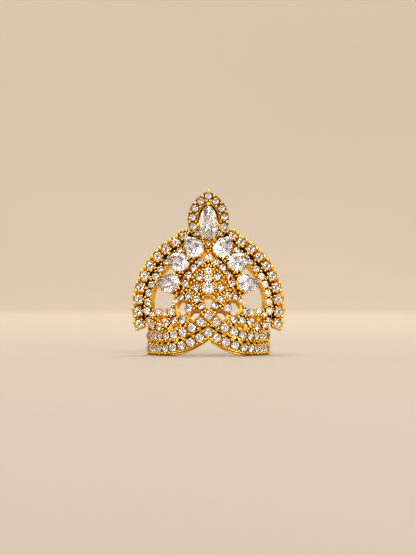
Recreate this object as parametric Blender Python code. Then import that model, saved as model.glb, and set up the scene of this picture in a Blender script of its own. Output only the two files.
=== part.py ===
"""A small gold crown for a household deity figure: one cast frame set with clear crystal stones.

The crown stands upright, its front facing -Y, its band's two wings on the ground plane.
Every dimension below is in millimetres; make_mesh turns them into metres.
"""

import math

import bmesh
import bpy
from mathutils import Matrix, Vector

MM = 0.001

# Band: a strip bent in plan, flat across the brow and turned back at the wings.
BAND_LENGTH = 24.8  # along the face, from the centre to one end
BAND_TURN = math.radians(70)  # direction of the face at its ends
BAND_TURN_LENGTH = 21.0  # length over which the face turns
WALL = 1.5  # thickness of the cast wall
ROW_A = (1.85, 4.65, 14.0)  # height at the wings, rise at the centre and reach of the rise
ROW_B = (5.4, 5.85, 13.0)
EDGE = (0.0, 4.2, 11.7)  # the notch in the bottom edge
ROW_END, ROW_STONES, ROW_STONE = 24.2, 10, 2.2  # length to the last stone, stones a side, their diameter
WING_TOP, WING_FROM = 10.0, 16.9  # height of the wall outside the arch, and where that starts

# Face above the band: it leans back and rounds off towards the arch.
LEAN, LEAN_FROM = 0.45, 11.0
ARCH_DEPTH, ROUNDING = 11.2, 1.4
BLEND_START, BLEND_HEIGHT = 0.6, 5.0  # over the upper row, where the band's curve passes into the face
FORWARD_FROM, FORWARD_FULL, FORWARD_MOST = 9.0, 17.0, 0.5  # stones out here are turned partly to the front
FORWARD_LIFT = 0.4

# Outer arch of separate cups, and the inner arch, from the foot to the finial.
HALO_CUPS = [
    (19.3, 8.65), (19.75, 12.1), (19.6, 15.5), (19.05, 18.9), (17.95, 22.05),
    (16.3, 25.0), (14.25, 27.5), (11.95, 29.7), (9.25, 31.65), (6.8, 33.5),
]
HALO_DEPTH, HALO_STONE = 11.6, 2.35
HALO_CENTRE = 16.0  # height that the cups' prongs are square to
HALO_LINK = (1.0, 0.8, 3.4)  # width, thickness and reach of the bar behind a cup
HALO_LINK_BACK = 1.3
ARCH_PATH = [(17.0, 9.0), (17.0, 12.3), (16.55, 17.3), (14.7, 21.95), (11.9, 25.6), (8.2, 29.05), (3.0, 34.0)]
ARCH_EDGE = 0.9  # from the line of the inner arch to its outer edge
ARCH_RIB = (1.05, -1.4, 0.3)  # half width, foot and top
ARCH_STONE, ARCH_PITCH, ARCH_STONES = 1.85, 2.5, 9
ARCH_HIDDEN = 7  # the place that a pear's tip covers
RIB_STEP = 3.2

# Spade outline round the flower, and the flower's middle stones with height, diameter and lift off the face.
SPADE_UPPER = [(0.0, 27.3), (2.3, 25.9), (5.0, 23.1), (6.4, 19.95)]
SPADE_LOWER = [(5.5, 16.7), (3.2, 15.7), (1.9, 13.8)]
SPADE_UPPER_STONES, SPADE_STONE = 5, 2.0
CENTRE_STONES = [("centre_stone", 18.4, 3.4, 0.8), ("centre_stone_upper", 21.1, 2.2, 0.7)]
TOP_PETAL = (0.0, 23.5, 2.2)

# Stones beside the flower and round the side wreaths, on one side: x, z and diameter.
SIDE_STONES = [
    (2.4, 21.8, 2.1), (3.4, 18.8, 2.0),
    (7.5, 16.2, 1.6), (8.95, 15.1, 1.3), (9.8, 14.3, 0.9),
    (5.35, 13.15, 2.35), (7.05, 9.95, 2.3),
    (10.3, 12.2, 2.0), (12.1, 11.9, 1.6), (13.85, 12.4, 2.0), (15.6, 11.4, 1.2),
    (9.5, 9.8, 2.1), (11.45, 9.0, 1.6), (13.6, 8.0, 2.0), (15.75, 8.4, 1.8), (16.7, 9.8, 1.4),
]

# Pear stones: name, centre and direction of the tip in degrees; then length and width.
FAN_PEARS = [("upper", 4.05, 30.0, 53.0), ("middle", 8.15, 25.95, 40.0), ("lower", 10.9, 19.8, 0.0)]
FAN_PEAR_SIZE, FAN_PEAR_LIFT = (7.3, 5.2), 0.9
TOP_PEAR_HEIGHT, TOP_PEAR_SIZE, TOP_PEAR_DEPTH = 37.0, (10.0, 5.4), 9.6
PEAR_FULLNESS = 0.6  # 0 is an ellipse, more draws the tip out
BEZEL = 0.35

# Finial: a pear-shaped ring of stones round the top pear, on a foot.
FINIAL_PATH = [(0.0, 44.5), (2.1, 43.0), (3.7, 41.0), (4.45, 38.5), (4.25, 35.9), (3.1, 34.0), (1.2, 32.7)]
FINIAL_SIDE_STONES, FINIAL_PITCH, FINIAL_STONE = 5, 2.6, 1.85
FINIAL_LAST_STONE, FINIAL_LAST_BACK = (3.2, 34.0, 1.4), 0.2  # the pair half hidden by the pear
FINIAL_DEPTH = 10.3
FINIAL_INNER, FINIAL_OUTER, FINIAL_LOW = 1.54, 1.28, -1.4  # the ring's sides and foot, from its stones' line
PLATE_BACK, PLATE_THICK = 1.3, 0.6
FINIAL_FOOT = [(1.7, 32.0), (1.15, 29.9), (-1.15, 29.9), (-1.7, 32.0)]
FOOT_FRONT, FOOT_BACK = 8.8, 11.3
FINIAL_TIP, TIP_BALL = 46.4, 0.5  # height of the tip and radius of its ball
TIP_BACK = 0.7  # from the ring's stones back to the ball
TIP_PROFILE = [(0.6, -1.5), (1.0, 0.0), (0.3, 1.0)]  # width and height of the ball's rings, in radii

# Windows on one side, as (x, z) corners of their front openings, then ovals as middle and half sizes.
WINDOWS = [
    [(10.9, 25.0), (12.9, 22.4), (10.3, 22.6), (8.5, 23.2)],
    [(15.9, 13.2), (15.9, 15.4), (15.3, 17.6), (14.6, 18.9),
     (9.2, 18.0), (8.8, 16.4), (10.2, 14.3), (10.9, 13.2)],
    [(2.5, 12.2), (4.3, 12.4), (5.25, 11.3), (4.7, 10.1), (3.2, 10.45)],
]
OVAL_WINDOW = (7.4, 13.2, 1.25, 1.85)
WREATH_HOLES = [(12.86, 10.05, 0.95, 0.6), (9.35, 8.05, 0.85, 0.55)]
CENTRE_WINDOW = [(-1.2, 16.5), (1.2, 16.5), (1.3, 15.0), (0.75, 13.4), (-0.75, 13.4), (-1.3, 15.0)]
CUT_OUT, CUT_IN = 3.0, 5.0  # how far a cutter reaches in front of the face and behind it

CLEARANCE = 0.1  # between a stone and its seat
GIRDLE, STUB = 0.15, -0.35  # a stone's girdle and the foot of its solid, from its seat's origin
CROWN_SHARE, TABLE_SHARE, STUB_SHARE = 0.16, 0.58, 0.6
CUP_DEPTH, CUP_FOOT = 2.2, 0.75
PRONG_REACH, PRONG_CUP_DEPTH = 0.8, 1.4
BUMP_FOOT, BUMP_HEIGHT = -0.4, 0.75
BUMP_WIDTHS = (0.52, 0.36)  # radius of a fused stone's foot and top, in diameters

SMOOTH_ANGLE = math.radians(35)
FORWARD = Vector((0.0, -1.0, 0.0))
UPWARD = Vector((0.0, 0.0, 1.0))


def smoothstep(t):
    t = min(max(t, 0.0), 1.0)
    return t * t * (3.0 - 2.0 * t)


def band_plan(steps=248):
    """(length, x, y) along one half of the band's face, seen from above."""
    step = BAND_LENGTH / steps
    length, x, y = 0.0, 0.0, 0.0
    plan = [(length, x, y)]
    for _ in range(steps):
        turn = BAND_TURN * smoothstep((length + step / 2) / BAND_TURN_LENGTH)
        x += step * math.cos(turn)
        y += step * math.sin(turn)
        length += step
        plan.append((length, x, y))
    return plan


PLAN = band_plan()
WINGS_BACK = PLAN[-1][2] + WALL * math.cos(BAND_TURN)
MIDDLE_DEPTH = (WINGS_BACK - BUMP_HEIGHT) / 2


def lerp_table(rows, value, key, want):
    """The column want at a value of the column key, in rows that rise along key. Past the end it runs on."""
    for first, second in zip(rows, rows[1:]):
        if value <= second[key]:
            break
    share = (value - first[key]) / (second[key] - first[key])
    return first[want] + share * (second[want] - first[want])


def band_depth(x):
    return lerp_table(PLAN, abs(x), 1, 2)


def row_height(x, low, rise, reach):
    return low + rise * max(1 - abs(x) / reach, 0.0) ** 2


def catmull_rom(a, b, c, d, t):
    square = (2 * a - 5 * b + 4 * c - d) * t * t
    cube = (3 * b - a - 3 * c + d) * t ** 3
    return 0.5 * (2 * b + (c - a) * t + square + cube)


def smooth_path(points, steps=12):
    """A smooth curve through points of any dimension."""
    points = [Vector(p) for p in points]
    ends = [2 * points[0] - points[1]] + points + [2 * points[-1] - points[-2]]
    curve = []
    for a, b, c, d in zip(ends, ends[1:], ends[2:], ends[3:]):
        curve += [catmull_rom(a, b, c, d, i / steps) for i in range(steps)]
    return curve + [points[-1]]


def path_length(path):
    return sum((b - a).length for a, b in zip(path, path[1:]))


def spaced(path, count, pitch=None):
    """Points at equal distances along a path, both ends included, or at a pitch from its start."""
    lengths = [0.0]
    for a, b in zip(path, path[1:]):
        lengths.append(lengths[-1] + (b - a).length)
    if pitch is None:
        pitch = lengths[-1] / (count - 1)
    found = []
    for i in range(count):
        want = min(i * pitch, lengths[-1])
        k = next(k for k in range(1, len(lengths)) if want <= lengths[k] + 1e-9)
        share = (want - lengths[k - 1]) / (lengths[k] - lengths[k - 1])
        found.append(path[k - 1].lerp(path[k], share))
    return found


def both_sides(path):
    """A path from the centre line to one side, run through to the other side as well."""
    return [Vector((-p.x, p.y)) for p in reversed(path[1:])] + path


ARCH = smooth_path(ARCH_PATH)
ARCH_ROWS = [(p.y, p.x + ARCH_EDGE) for p in ARCH]


def arch_half_width(z):
    """Half the distance between the outer edges of the inner arch at a height."""
    return max(lerp_table(ARCH_ROWS, max(z, ARCH_ROWS[0][0]), 0, 1), 0.5)


def face_depth(x, z):
    """How far the gold face lies behind the middle of the brow."""
    front = LEAN * max(z - LEAN_FROM, 0.0)
    share = min(abs(x) / arch_half_width(z), 1.05)
    dome = front + max(ARCH_DEPTH - front, 0.0) * share ** ROUNDING
    blend = smoothstep((z - row_height(x, *ROW_B) - BLEND_START) / BLEND_HEIGHT)
    return band_depth(x) * (1 - blend) + dome * blend


def face_point(x, z):
    return Vector((x, face_depth(x, z), z))


def face_normal(x, z, step=0.25):
    across = (face_depth(x + step, z) - face_depth(x - step, z)) / (2 * step)
    up = (face_depth(x, z + step) - face_depth(x, z - step)) / (2 * step)
    return Vector((across, -1.0, up)).normalized()


def seat(point, normal, along):
    """A frame whose Z is the normal and whose X runs as near to along as it can."""
    z = normal.normalized()
    x = (along - along.dot(z) * z).normalized()
    return Matrix.Translation(point) @ Matrix((x, z.cross(x), z)).transposed().to_4x4()


def face_seat(x, z, turn=90.0):
    """The seat of a stone on the face, its X turned by some degrees from the crown's +X."""
    turn = math.radians(turn)
    return seat(face_point(x, z), face_normal(x, z), Vector((math.cos(turn), 0.0, math.sin(turn))))


def forward_seat(x, depth, z, along=UPWARD):
    """A seat that faces straight forward."""
    return seat(Vector((x, depth, z)), FORWARD, along)


def lifted(place, height):
    return place @ Matrix.Translation((0.0, 0.0, height))


def turned_forward(place):
    """A seat far out on the curve, turned part of the way to the front and raised to clear the wall."""
    share = (place.translation.x - FORWARD_FROM) / (FORWARD_FULL - FORWARD_FROM)
    share = FORWARD_MOST * smoothstep(share)
    normal = place.col[2].to_3d().lerp(FORWARD, share)
    return lifted(seat(place.translation, normal, place.col[0].to_3d()), FORWARD_LIFT * share)


def mirrored(matrix):
    """The same seat on the crown's other side; X and Y keep to a right-handed frame."""
    return Matrix.Diagonal((-1, 1, 1, 1)) @ matrix @ Matrix.Diagonal((1, -1, 1, 1))


def pair(matrix, value):
    return [(matrix, value), (mirrored(matrix), value)]


def make_mesh(name, shells, rounded=False):
    """One object from closed shells, each (points, faces) in millimetres."""
    points, faces = [], []
    for shell_points, shell_faces in shells:
        base = len(points)
        points += [Vector(p) * MM for p in shell_points]
        faces += [[base + i for i in face] for face in shell_faces]
    mesh = bpy.data.meshes.new(name)
    mesh.from_pydata(points, [], faces)
    flat = bmesh.new()
    flat.from_mesh(mesh)
    bmesh.ops.triangulate(flat, faces=flat.faces)
    flat.to_mesh(mesh)
    flat.free()
    if rounded:
        mesh.shade_smooth()
        mesh.set_sharp_from_angle(angle=SMOOTH_ANGLE)
    obj = bpy.data.objects.new(name, mesh)
    bpy.context.scene.collection.objects.link(obj)
    return obj


def facing_out(points, faces):
    """The faces of a closed shell, turned round if they point inwards."""
    volume = 0.0
    for face in faces:
        first = points[face[0]]
        for i, j in zip(face[1:], face[2:]):
            volume += first.dot(points[i].cross(points[j]))
    return faces if volume > 0 else [face[::-1] for face in faces]


def loft(rings, matrix=Matrix.Identity(4)):
    """A closed shell through rings of equal length, capped at both ends."""
    points = [matrix @ Vector(p) for ring in rings for p in ring]
    count = len(rings[0])
    faces = [list(reversed(range(count)))]
    for r in range(len(rings) - 1):
        for i in range(count):
            j = (i + 1) % count
            a, b = r * count, (r + 1) * count
            faces.append([a + i, a + j, b + j, b + i])
    faces.append([(len(rings) - 1) * count + i for i in range(count)])
    return points, facing_out(points, faces)


def circle(radius, z, sides):
    turns = [2 * math.pi * (i + 0.5) / sides for i in range(sides)]
    return [(radius * math.cos(turn), radius * math.sin(turn), z) for turn in turns]


def pear_half(t):
    return math.sin(t) * abs(math.sin(t / 2)) ** PEAR_FULLNESS


PEAR_WIDEST = max(pear_half(math.pi * i / 200) for i in range(200))


def pear(length, width, z, sides=14):
    """A pear outline with its tip towards +X."""
    ring = []
    for i in range(sides):
        t = 2 * math.pi * i / sides
        ring.append((length / 2 * math.cos(t), width / 2 * pear_half(t) / PEAR_WIDEST, z))
    return ring


def outline(size, grow, z):
    """A round or a pear outline of the stone's size, grown all round."""
    if isinstance(size, tuple):
        return pear(size[0] + 2 * grow, size[1] + 2 * grow, z)
    return circle(size / 2 + grow, z, 8)


def scaled(ring, share, z):
    return [(x * share, y * share, z) for x, y, _ in ring]


def stone(size, matrix):
    """A cut stone: table, crown to the girdle, and the stub of its pavilion."""
    girdle = outline(size, 0.0, GIRDLE)
    height = CROWN_SHARE * (size[1] if isinstance(size, tuple) else size)
    table = scaled(girdle, TABLE_SHARE, GIRDLE + height)
    return loft([scaled(girdle, STUB_SHARE, STUB), girdle, table], matrix)


def cup(size, matrix):
    """A bezel that narrows to its foot, with a pocket for the stone."""
    rim = outline(size, BEZEL, GIRDLE)
    pocket = outline(size, CLEARANCE, GIRDLE)
    floor = [(x, y, STUB - CLEARANCE) for x, y, _ in pocket]
    return loft([scaled(rim, CUP_FOOT, -CUP_DEPTH), rim, pocket, floor], matrix)


def prong_cup(diameter, matrix):
    """A four-prong cup under a round stone, seen from above as a square with drawn-in sides."""
    top = []
    for i in range(8):
        turn = math.pi / 4 * i
        reach = diameter / 2 + (PRONG_REACH if i % 2 else 0.05)
        top.append((reach * math.cos(turn), reach * math.sin(turn), STUB - CLEARANCE))
    return loft([scaled(top, CUP_FOOT, -PRONG_CUP_DEPTH), top], matrix)


def bump(diameter, matrix, sides=5):
    """A small stone fused to the casting: a low flat-topped cone."""
    ends = zip(BUMP_WIDTHS, (BUMP_FOOT, BUMP_HEIGHT))
    return loft([circle(diameter * width, height, sides) for width, height in ends], matrix)


def rib(path, normals, sides, low, high):
    """A strip of rectangular section along a 3-D path, from low to high along the normals."""
    rings = []
    for i, (point, normal) in enumerate(zip(path, normals)):
        along = path[min(i + 1, len(path) - 1)] - path[max(i - 1, 0)]
        across = normal.cross(along).normalized()
        inner, outer = point - across * sides[0], point + across * sides[1]
        foot, top = normal * low, normal * high
        rings.append([inner + foot, outer + foot, outer + top, inner + top])
    return loft(rings)


def face_rib(path, half_width, low, high):
    """A rib on the face along a path of (x, z)."""
    flat = spaced(path, round(path_length(path) / RIB_STEP) + 1)
    points = [face_point(p.x, p.y) for p in flat]
    return rib(points, [face_normal(p.x, p.y) for p in flat], (half_width, half_width), low, high)


def row_seats(row):
    """The seats of a row's stones from the centre to one end, at equal distances along the face."""
    path = [face_point(x, row_height(x, *row)) for length, x, _ in PLAN if length <= ROW_END]
    return [face_seat(p.x, p.z, 0.0) for p in spaced(path, ROW_STONES)]


# ---------------------------------------------------------------- the casting


def oval(x, z, half_x, half_z, sides=8):
    turns = [2 * math.pi * i / sides for i in range(sides)]
    return [(x + half_x * math.cos(turn), z + half_z * math.sin(turn)) for turn in turns]


def prism(corners):
    """A cutter through the wall, square to the face at the window's middle."""
    middle_x = sum(x for x, _ in corners) / len(corners)
    middle_z = sum(z for _, z in corners) / len(corners)
    normal = face_normal(middle_x, middle_z)
    points = [face_point(x, z) for x, z in corners]
    return loft([[p - normal * CUT_IN for p in points], [p + normal * CUT_OUT for p in points]])


def panel_shell(columns=11, rows=7):
    """The wall of the crown: band and face in one curved sheet, up to the line of the arch."""
    front, back = [], []
    top_rows = [(p.x, p.y) for p in reversed(ARCH)]
    for i in range(-columns, columns + 1):
        length = BAND_LENGTH * abs(i) / columns
        x = math.copysign(lerp_table(PLAN, length, 0, 1), i)
        low = row_height(x, *EDGE)
        high = lerp_table(top_rows, max(abs(x), top_rows[0][0]), 0, 1)
        if abs(x) >= WING_FROM:
            high = WING_TOP
        for j in range(rows + 1):
            z = low + (high - low) * j / rows
            point, normal = face_point(x, z), face_normal(x, z)
            front.append(point)
            back.append(point - normal * WALL)
    count = rows + 1
    total = len(front)
    points = front + back
    faces = []
    for i in range(2 * columns):
        for j in range(rows):
            a, b = i * count + j, (i + 1) * count + j
            faces.append([a, b, b + 1, a + 1])
            faces.append([total + a, total + a + 1, total + b + 1, total + b])
    for i in range(2 * columns):
        a, b = i * count, (i + 1) * count
        faces.append([a, total + a, total + b, b])
        faces.append([a + rows, b + rows, total + b + rows, total + a + rows])
    for j in range(rows):
        a = 2 * columns * count + j
        faces.append([j, j + 1, total + j + 1, total + j])
        faces.append([a, total + a, total + a + 1, a + 1])
    return points, faces


def halo_seats():
    """The seats of the outer arch's stones on one side, all facing straight forward."""
    found = []
    for x, z in HALO_CUPS:
        inward = Vector((-x, 0.0, HALO_CENTRE - z))
        found.append(forward_seat(x, HALO_DEPTH, z, inward))
    return found


def halo_cup_shells(matrix):
    """One cup of the outer arch and its link to the inner arch."""
    width, thick, reach = HALO_LINK
    ends = [(0.0, width / 2), (0.0, -width / 2), (reach, -width / 2), (reach, width / 2)]
    low = [(x, y, -HALO_LINK_BACK) for x, y in ends]
    high = [(x, y, thick - HALO_LINK_BACK) for x, y in ends]
    return [prong_cup(HALO_STONE, matrix), loft([low, high], matrix)]


def finial_seats():
    found = []
    for index, point in enumerate(spaced(smooth_path(FINIAL_PATH), FINIAL_SIDE_STONES, FINIAL_PITCH)):
        place = forward_seat(point.x, FINIAL_DEPTH, point.y)
        found.append(place)
        if index:
            found.append(mirrored(place))
    return found


def finial_shells():
    """The finial's ring, the plate behind its pear, the foot under it and the ball at its tip."""
    half = smooth_path(FINIAL_PATH, steps=3)
    ring = [Vector((p.x, FINIAL_DEPTH, p.y)) for p in both_sides(half)]
    sides = (FINIAL_INNER, FINIAL_OUTER)
    plate = [p - FORWARD * PLATE_BACK for p in ring]
    tip = Matrix.Translation((0.0, FINIAL_DEPTH + TIP_BACK, FINIAL_TIP - TIP_BALL))
    return [
        rib(ring, [FORWARD] * len(ring), sides, FINIAL_LOW, STUB - CLEARANCE),
        loft([plate, [p + FORWARD * PLATE_THICK for p in plate]]),
        loft([[Vector((x, depth, z)) for x, z in FINIAL_FOOT] for depth in (FOOT_FRONT, FOOT_BACK)]),
        loft([circle(TIP_BALL * wide, TIP_BALL * high, 6) for wide, high in TIP_PROFILE], tip),
    ]


def fused_small_stones():
    """(seat, diameter) of every stone too small for a node of its own."""
    found = []
    for row in (ROW_A, ROW_B):
        for index, place in enumerate(row_seats(row)):
            found += pair(place, ROW_STONE) if index else [(place, ROW_STONE)]
    for index, point in enumerate(spaced(smooth_path(ARCH_PATH[1:]), ARCH_STONES, ARCH_PITCH)):
        if index != ARCH_HIDDEN:
            found += pair(turned_forward(face_seat(point.x, point.y)), ARCH_STONE)
    upper = spaced(smooth_path(SPADE_UPPER), SPADE_UPPER_STONES)
    for index, (x, z) in enumerate([(point.x, point.y) for point in upper] + SPADE_LOWER):
        place = face_seat(x, z)
        found += pair(place, SPADE_STONE) if index else [(place, SPADE_STONE)]
    for x, z, diameter in SIDE_STONES:
        found += pair(turned_forward(face_seat(x, z)), diameter)
    x, z, diameter = TOP_PETAL
    found.append((face_seat(x, z), diameter))
    x, z, diameter = FINIAL_LAST_STONE
    return found + pair(forward_seat(x, FINIAL_DEPTH + FINIAL_LAST_BACK, z), diameter)


def fan_seats():
    """(name, seat) of the six pears round the flower."""
    found = []
    for name, x, z, tip in FAN_PEARS:
        place = lifted(face_seat(x, z, tip), FAN_PEAR_LIFT)
        found.append((name + "_right", place))
        found.append((name + "_left", mirrored(place)))
    return found


def top_pear_seat():
    return forward_seat(0.0, TOP_PEAR_DEPTH, TOP_PEAR_HEIGHT)


def flower_seats():
    """(name, seat, diameter) of the flower's two middle stones."""
    return [(name, lifted(face_seat(0.0, z), lift), size) for name, z, size, lift in CENTRE_STONES]


def casting_shells():
    """Everything joined to the wall: arch ribs, cups, the finial and small fused stones."""
    shells = []
    arch_left = [Vector((-p.x, p.y)) for p in reversed(ARCH)]
    for path in (ARCH, arch_left):
        shells.append(face_rib(path, *ARCH_RIB))
    for place in halo_seats():
        shells += halo_cup_shells(place)
        shells += halo_cup_shells(mirrored(place))
    shells += finial_shells()
    shells += [cup(FAN_PEAR_SIZE, place) for _, place in fan_seats()]
    shells.append(cup(TOP_PEAR_SIZE, top_pear_seat()))
    shells += [cup(size, place) for _, place, size in flower_seats()]
    shells += [bump(diameter, place) for place, diameter in fused_small_stones()]
    return shells


def material(name, colour, roughness, metallic, transmission=0.0):
    made = bpy.data.materials.new(name)
    made.use_nodes = True
    shader = made.node_tree.nodes["Principled BSDF"]
    shader.inputs["Base Color"].default_value = (*colour, 1.0)
    shader.inputs["Roughness"].default_value = roughness
    shader.inputs["Metallic"].default_value = metallic
    shader.inputs["Transmission Weight"].default_value = transmission
    return made


def clear_scene():
    for obj in list(bpy.data.objects):
        bpy.data.objects.remove(obj, do_unlink=True)


def make_helper(name, shells):
    helper = make_mesh(name, shells, rounded=True)
    helper.hide_render = True
    helper.display_type = "WIRE"
    return helper


def join_casting(gold):
    """The wall with its windows cut, then every other shell of the casting joined to it."""
    frame = make_mesh("crown_frame", [panel_shell()], rounded=True)
    frame.data.materials.append(gold)
    window_outlines = [CENTRE_WINDOW]
    for shape in WINDOWS + [oval(*OVAL_WINDOW)] + [oval(*hole, sides=6) for hole in WREATH_HOLES]:
        window_outlines += [shape, [(-x, z) for x, z in shape]]
    cut = frame.modifiers.new("windows", "BOOLEAN")
    cut.operation = "DIFFERENCE"
    cut.object = make_helper("window_cutter", [prism(shape) for shape in window_outlines])
    cut.solver = "MANIFOLD"  # the cutters of neighbouring windows run into each other behind the wall
    group = bpy.data.collections.new("joined_shells")
    bpy.context.scene.collection.children.link(group)
    for index, shell in enumerate(casting_shells()):
        helper = make_helper(f"shell_{index:03d}", [shell])
        bpy.context.scene.collection.objects.unlink(helper)
        group.objects.link(helper)
    joined = frame.modifiers.new("joined", "BOOLEAN")
    joined.operation = "UNION"
    joined.operand_type = "COLLECTION"
    joined.collection = group
    joined.solver = "MANIFOLD"  # EXACT leaves edges shared by four faces where the curved sheets cross


def set_stones(crystal):
    """Each larger stone, a piece of its own, in its seat."""
    made = []
    for name, place in fan_seats():
        made.append(make_mesh(f"pear_stone_{name}", [stone(FAN_PEAR_SIZE, place)]))
    made.append(make_mesh("pear_stone_top", [stone(TOP_PEAR_SIZE, top_pear_seat())]))
    for name, place, size in flower_seats():
        made.append(make_mesh(name, [stone(size, place)]))
    for index, place in enumerate(halo_seats()):
        made.append(make_mesh(f"arch_stone_right_{index + 1:02d}", [stone(HALO_STONE, place)]))
        made.append(make_mesh(f"arch_stone_left_{index + 1:02d}", [stone(HALO_STONE, mirrored(place))]))
    for index, place in enumerate(finial_seats()):
        made.append(make_mesh(f"finial_stone_{index + 1:02d}", [stone(FINIAL_STONE, place)]))
    for obj in made:
        obj.data.materials.append(crystal)


def main():
    clear_scene()
    gold = material("gold_plate", (0.80, 0.48, 0.13), 0.22, 1.0)
    crystal = material("clear_crystal", (0.95, 0.95, 0.97), 0.02, 0.0, 0.9)
    join_casting(gold)
    set_stones(crystal)
    base = bpy.data.objects.new("crown_base", None)
    base.location.y = -MIDDLE_DEPTH * MM
    bpy.context.scene.collection.objects.link(base)
    for piece in [obj for obj in bpy.data.objects if obj.type == "MESH"]:
        piece.parent = base


main()
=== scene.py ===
"""The looks of the deity crown: a gold-plated casting set with clear cut stones, on a pale floor.

The crown faces -Y. Lengths are in millimetres in the layout below and become metres when a mesh is made.
The layout is the one that the crown's solids are made from, so the pieces lie on those solids. Three things were
fitted to the photograph after them and differ a little: the tilt of the fan's lower pears, the inner corner of the
large side windows, and how full the top pear is near its tip.
"""

from bisect import bisect_left
from itertools import accumulate
from math import copysign, cos, hypot, pi, radians, sin, sqrt

import bpy
import numpy as np
from mathutils import Matrix, Vector


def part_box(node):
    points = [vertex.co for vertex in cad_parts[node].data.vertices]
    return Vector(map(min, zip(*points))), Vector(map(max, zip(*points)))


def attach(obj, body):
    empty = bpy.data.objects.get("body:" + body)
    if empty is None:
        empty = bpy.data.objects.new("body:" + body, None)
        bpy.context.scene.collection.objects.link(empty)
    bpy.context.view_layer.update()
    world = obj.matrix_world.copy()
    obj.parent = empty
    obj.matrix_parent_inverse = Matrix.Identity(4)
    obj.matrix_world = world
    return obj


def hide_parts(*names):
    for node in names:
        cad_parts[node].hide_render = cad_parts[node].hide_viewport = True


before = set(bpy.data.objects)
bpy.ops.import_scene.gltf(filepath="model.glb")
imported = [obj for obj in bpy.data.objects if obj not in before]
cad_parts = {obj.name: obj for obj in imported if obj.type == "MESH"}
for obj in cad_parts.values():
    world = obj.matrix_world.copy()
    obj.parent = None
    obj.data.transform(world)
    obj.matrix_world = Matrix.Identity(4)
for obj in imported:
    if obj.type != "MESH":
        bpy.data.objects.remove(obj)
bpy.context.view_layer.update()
MM = 0.001
FORWARD = Vector((0.0, -1.0, 0.0))

# ---- layout

BAND_LENGTH = 24.8  # of one half, along the curve
BAND_TURN, BAND_TURN_LENGTH = radians(70), 21.0
BAND_STONES_END = 24.2  # where the last stone of a row sits
WALL = 1.5
GROUND = 0.75  # how far the casting's ground lies under the cups' rims
RIM_FOOT = 0.05 - WALL  # rims and rails reach almost to the wall's back
# Lines along the band: height at the wings, rise to the centre, and how far out the rise begins.
ROW_A = (1.85, 4.65, 14.0)
ROW_B = (5.4, 5.85, 13.0)
EDGE = (0.0, 4.2, 11.7)
LEAN, LEAN_FROM = 0.45, 11.0
ARCH_DEPTH, ROUNDING, BLEND_HEIGHT = 11.2, 1.4, 5.0

HALO_CUPS = [
    (19.3, 8.65), (19.75, 12.1), (19.6, 15.5), (19.05, 18.9), (17.95, 22.05),
    (16.3, 25.0), (14.25, 27.5), (11.95, 29.7), (9.25, 31.65), (6.8, 33.5),
]
HALO_DEPTH, HALO_STONE = 11.6, 2.35
HALO_CENTRE = 16.0  # height that the cups are square to
HALO_BALLS = [  # turn in degrees, reach past the stone, radius, height
    (45, 0.22, 0.45, 0.12), (135, 0.38, 0.58, 0.12), (225, 0.38, 0.58, 0.12), (315, 0.22, 0.45, 0.12),
    (0, 0.35, 0.42, 0.2),
]
LAST_CUP_BALLS = [(90, 0.05, 0.5, 0.15), (180, 0.15, 0.55, 0.15)]  # more of them, on the uppermost cups
ARCH_PATH = [(17.0, 9.0), (17.0, 12.3), (16.55, 17.3), (14.7, 21.95), (11.9, 25.6), (8.2, 29.05), (3.0, 34.0)]
ARCH_HALF_WIDTH = 0.9
ARCH_STONE, ARCH_PITCH, ARCH_STONES, ARCH_HIDDEN = 1.85, 2.5, 9, 7
SPADE_UPPER, SPADE_UPPER_STONES = [(0.0, 27.3), (2.3, 25.9), (5.0, 23.1), (6.4, 19.95)], 5
SPADE_LOWER = [(5.5, 16.7), (3.2, 15.7), (1.9, 13.8)]
SPADE_STONE, BAND_STONE = 2.0, 2.2
TOP_PETAL_HEIGHT, TOP_PETAL_STONE = 23.5, 2.2
SIDE_STONES = [  # x, z, diameter: the petals, the scrolls and the side wreaths
    (2.4, 21.8, 2.1), (3.4, 18.8, 2.0),
    (7.5, 16.2, 1.6), (8.95, 15.1, 1.3), (9.8, 14.3, 0.9),
    (5.35, 13.15, 2.35), (7.05, 9.95, 2.3),
    (10.3, 12.2, 2.0), (12.1, 11.9, 1.6), (13.85, 12.4, 2.0), (15.6, 11.4, 1.2),
    (9.5, 9.8, 2.1), (11.45, 9.0, 1.6), (13.6, 8.0, 2.0), (15.75, 8.4, 1.8), (16.7, 9.8, 1.4),
]
FAN_PEARS = [("upper", 4.05, 30.0, 53.0), ("middle", 8.15, 25.95, 40.0), ("lower", 10.9, 19.8, 9.0)]
FAN_PEAR_SIZE, FAN_PEAR_LIFT = (7.3, 5.2, 0.6), 0.9  # length, width and how far the tip is drawn out
TOP_PEAR_HEIGHT, TOP_PEAR_SIZE, TOP_PEAR_DEPTH = 37.0, (10.0, 5.4, 0.38), 9.6
CENTRE_STONES = [("centre_stone", 18.4, 3.4, 0.8), ("centre_stone_upper", 21.1, 2.2, 0.7)]
FINIAL_PATH = [(0.0, 44.5), (2.1, 43.0), (3.7, 41.0), (4.45, 38.5), (4.25, 35.9), (3.1, 34.0), (1.2, 32.7)]
FINIAL_SIDE_STONES, FINIAL_PITCH, FINIAL_STONE, FINIAL_DEPTH = 5, 2.6, 1.85, 10.3
FINIAL_LAST_STONE, FINIAL_LAST_DEPTH = (3.2, 34.0, 1.4), FINIAL_DEPTH + 0.2
FOOT_STONE, FOOT_STONE_DEPTH = (0.0, 31.0, 0.9), FINIAL_DEPTH - 1.7
FINIAL_TIP, TIP_BALL = 46.4, 0.5
FINIAL_BEADS = [(0.8, 43.2, 0.36), (1.45, 44.3, 0.38), (0.0, 45.7, 0.42)]  # x, z, radius
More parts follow.
